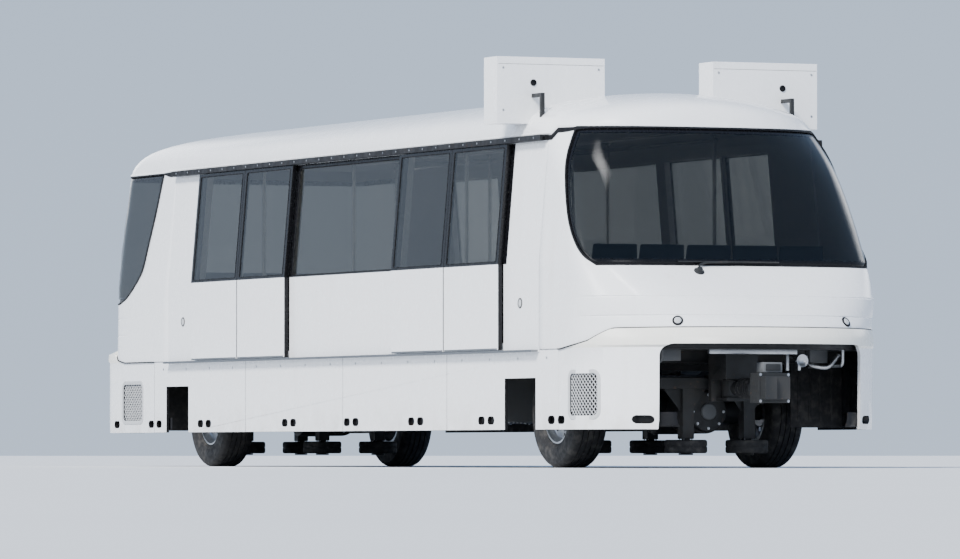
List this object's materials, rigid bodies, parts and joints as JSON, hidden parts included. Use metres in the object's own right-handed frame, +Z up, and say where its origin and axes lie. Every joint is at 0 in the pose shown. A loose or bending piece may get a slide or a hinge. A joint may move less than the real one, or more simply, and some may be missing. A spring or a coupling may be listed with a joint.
{
  "type": "automated people mover car",
  "caption": "Rubber-tyred, centrally guided people mover car with raked windscreen, sliding double doors, steered bogies and end couplers.",
  "frame": {"origin": "on the running surface, under the middle of the car", "axes": "+X towards the raked front end, +Y to the car's left, +Z up"},
  "size_m": [12.85, 3.2, 3.68],
  "materials": {
    "body_white": "gloss",
    "bumper": "satin",
    "glass": "gloss",
    "tyre": "matte",
    "chassis": "satin",
    "alloy": "satin",
    "steel": "brushed",
    "seat": "matte"
  },
  "bodies": {
    "car": {"underframe": "chassis", "side_wall_right": "body_white", "side_window_right": "glass", "skirt_right": "body_white", "roof_box_right": "body_white", "side_wall_left": "body_white", "side_window_left": "glass", "skirt_left": "body_white", "roof_box_left": "body_white", "front_nose_cap": "body_white", "front_windscreen": "glass", "front_apron": "bumper", "rear_nose_cap": "body_white", "rear_windscreen": "glass", "rear_apron": "bumper", "roof_shell": "body_white", "traction_box": "chassis", "auxiliary_box": "chassis", "bench_front": "seat", "bench_rear": "seat", "handrails": "steel"},
    "front_bogie": {"front_bogie_frame": "chassis", "front_drive_axle": "chassis"},
    "front_wheel_right": {"front_tyre_right": "tyre", "front_rim_right": "alloy"},
    "front_guide_front_right": {"front_guide_wheel_front_right": "tyre"},
    "front_guide_rear_right": {"front_guide_wheel_rear_right": "tyre"},
    "front_wheel_left": {"front_tyre_left": "tyre", "front_rim_left": "alloy"},
    "front_guide_front_left": {"front_guide_wheel_front_left": "tyre"},
    "front_guide_rear_left": {"front_guide_wheel_rear_left": "tyre"},
    "front_coupler_bar": {"front_coupler": "chassis"},
    "rear_bogie": {"rear_bogie_frame": "chassis", "rear_drive_axle": "chassis"},
    "rear_wheel_right": {"rear_tyre_right": "tyre", "rear_rim_right": "alloy"},
    "rear_guide_front_right": {"rear_guide_wheel_front_right": "tyre"},
    "rear_guide_rear_right": {"rear_guide_wheel_rear_right": "tyre"},
    "rear_wheel_left": {"rear_tyre_left": "tyre", "rear_rim_left": "alloy"},
    "rear_guide_front_left": {"rear_guide_wheel_front_left": "tyre"},
    "rear_guide_rear_left": {"rear_guide_wheel_rear_left": "tyre"},
    "rear_coupler_bar": {"rear_coupler": "chassis"},
    "door_front_right_inner": {"door_front_right_inner_leaf": "body_white", "door_front_right_inner_pane": "glass"},
    "door_front_right_outer": {"door_front_right_outer_leaf": "body_white", "door_front_right_outer_pane": "glass"},
    "door_front_left_inner": {"door_front_left_inner_leaf": "body_white", "door_front_left_inner_pane": "glass"},
    "door_front_left_outer": {"door_front_left_outer_leaf": "body_white", "door_front_left_outer_pane": "glass"},
    "door_rear_right_inner": {"door_rear_right_inner_leaf": "body_white", "door_rear_right_inner_pane": "glass"},
    "door_rear_right_outer": {"door_rear_right_outer_leaf": "body_white", "door_rear_right_outer_pane": "glass"},
    "door_rear_left_inner": {"door_rear_left_inner_leaf": "body_white", "door_rear_left_inner_pane": "glass"},
    "door_rear_left_outer": {"door_rear_left_outer_leaf": "body_white", "door_rear_left_outer_pane": "glass"}
  },
  "joints": [
    {"name": "front_bogie_steer", "type": "hinge", "parent": "car", "child": "front_bogie", "pos_m": [4.17, 0, 0.98], "axis": [0, 0, 1], "range_deg": [-10, 10]},
    {"name": "front_wheel_right_spin", "type": "hinge", "parent": "front_bogie", "child": "front_wheel_right", "pos_m": [4.17, -0.97, 0.5], "axis": [0, 1, 0], "continuous": true},
    {"name": "front_guide_front_right_spin", "type": "hinge", "parent": "front_bogie", "child": "front_guide_front_right", "pos_m": [5.17, -0.3, 0.19], "axis": [0, 0, 1], "continuous": true},
    {"name": "front_guide_rear_right_spin", "type": "hinge", "parent": "front_bogie", "child": "front_guide_rear_right", "pos_m": [3.17, -0.3, 0.19], "axis": [0, 0, 1], "continuous": true},
    {"name": "front_wheel_left_spin", "type": "hinge", "parent": "front_bogie", "child": "front_wheel_left", "pos_m": [4.17, 0.97, 0.5], "axis": [0, 1, 0], "continuous": true},
    {"name": "front_guide_front_left_spin", "type": "hinge", "parent": "front_bogie", "child": "front_guide_front_left", "pos_m": [5.17, 0.3, 0.19], "axis": [0, 0, 1], "continuous": true},
    {"name": "front_guide_rear_left_spin", "type": "hinge", "parent": "front_bogie", "child": "front_guide_rear_left", "pos_m": [3.17, 0.3, 0.19], "axis": [0, 0, 1], "continuous": true},
    {"name": "front_coupler_swing", "type": "hinge", "parent": "car", "child": "front_coupler_bar", "pos_m": [5.5, 0, 0.7], "axis": [0, 0, 1], "range_deg": [-20, 20]},
    {"name": "rear_bogie_steer", "type": "hinge", "parent": "car", "child": "rear_bogie", "pos_m": [-4.17, 0, 0.98], "axis": [0, 0, 1], "range_deg": [-10, 10]},
    {"name": "rear_wheel_right_spin", "type": "hinge", "parent": "rear_bogie", "child": "rear_wheel_right", "pos_m": [-4.17, -0.97, 0.5], "axis": [0, 1, 0], "continuous": true},
    {"name": "rear_guide_front_right_spin", "type": "hinge", "parent": "rear_bogie", "child": "rear_guide_front_right", "pos_m": [-3.17, -0.3, 0.19], "axis": [0, 0, 1], "continuous": true},
    {"name": "rear_guide_rear_right_spin", "type": "hinge", "parent": "rear_bogie", "child": "rear_guide_rear_right", "pos_m": [-5.17, -0.3, 0.19], "axis": [0, 0, 1], "continuous": true},
    {"name": "rear_wheel_left_spin", "type": "hinge", "parent": "rear_bogie", "child": "rear_wheel_left", "pos_m": [-4.17, 0.97, 0.5], "axis": [0, 1, 0], "continuous": true},
    {"name": "rear_guide_front_left_spin", "type": "hinge", "parent": "rear_bogie", "child": "rear_guide_front_left", "pos_m": [-3.17, 0.3, 0.19], "axis": [0, 0, 1], "continuous": true},
    {"name": "rear_guide_rear_left_spin", "type": "hinge", "parent": "rear_bogie", "child": "rear_guide_rear_left", "pos_m": [-5.17, 0.3, 0.19], "axis": [0, 0, 1], "continuous": true},
    {"name": "rear_coupler_swing", "type": "hinge", "parent": "car", "child": "rear_coupler_bar", "pos_m": [-5.5, 0, 0.7], "axis": [0, 0, 1], "range_deg": [-20, 20]},
    {"name": "door_front_right_inner_slide", "type": "slide", "parent": "car", "child": "door_front_right_inner", "axis": [-1, 0, 0], "range_m": [0, 1.05]},
    {"name": "door_front_right_outer_slide", "type": "slide", "parent": "car", "child": "door_front_right_outer", "axis": [1, 0, 0], "range_m": [0, 1.05]},
    {"name": "door_front_left_inner_slide", "type": "slide", "parent": "car", "child": "door_front_left_inner", "axis": [-1, 0, 0], "range_m": [0, 1.05]},
    {"name": "door_front_left_outer_slide", "type": "slide", "parent": "car", "child": "door_front_left_outer", "axis": [1, 0, 0], "range_m": [0, 1.05]},
    {"name": "door_rear_right_inner_slide", "type": "slide", "parent": "car", "child": "door_rear_right_inner", "axis": [1, 0, 0], "range_m": [0, 1.05]},
    {"name": "door_rear_right_outer_slide", "type": "slide", "parent": "car", "child": "door_rear_right_outer", "axis": [-1, 0, 0], "range_m": [0, 1.05]},
    {"name": "door_rear_left_inner_slide", "type": "slide", "parent": "car", "child": "door_rear_left_inner", "axis": [1, 0, 0], "range_m": [0, 1.05]},
    {"name": "door_rear_left_outer_slide", "type": "slide", "parent": "car", "child": "door_rear_left_outer", "axis": [-1, 0, 0], "range_m": [0, 1.05]}
  ],
  "couplings": [
    {"joint": "door_front_right_outer_slide", "follows": "door_front_right_inner_slide", "ratio": 1},
    {"joint": "door_front_left_outer_slide", "follows": "door_front_left_inner_slide", "ratio": 1},
    {"joint": "door_rear_right_outer_slide", "follows": "door_rear_right_inner_slide", "ratio": 1},
    {"joint": "door_rear_left_outer_slide", "follows": "door_rear_left_inner_slide", "ratio": 1}
  ]
}
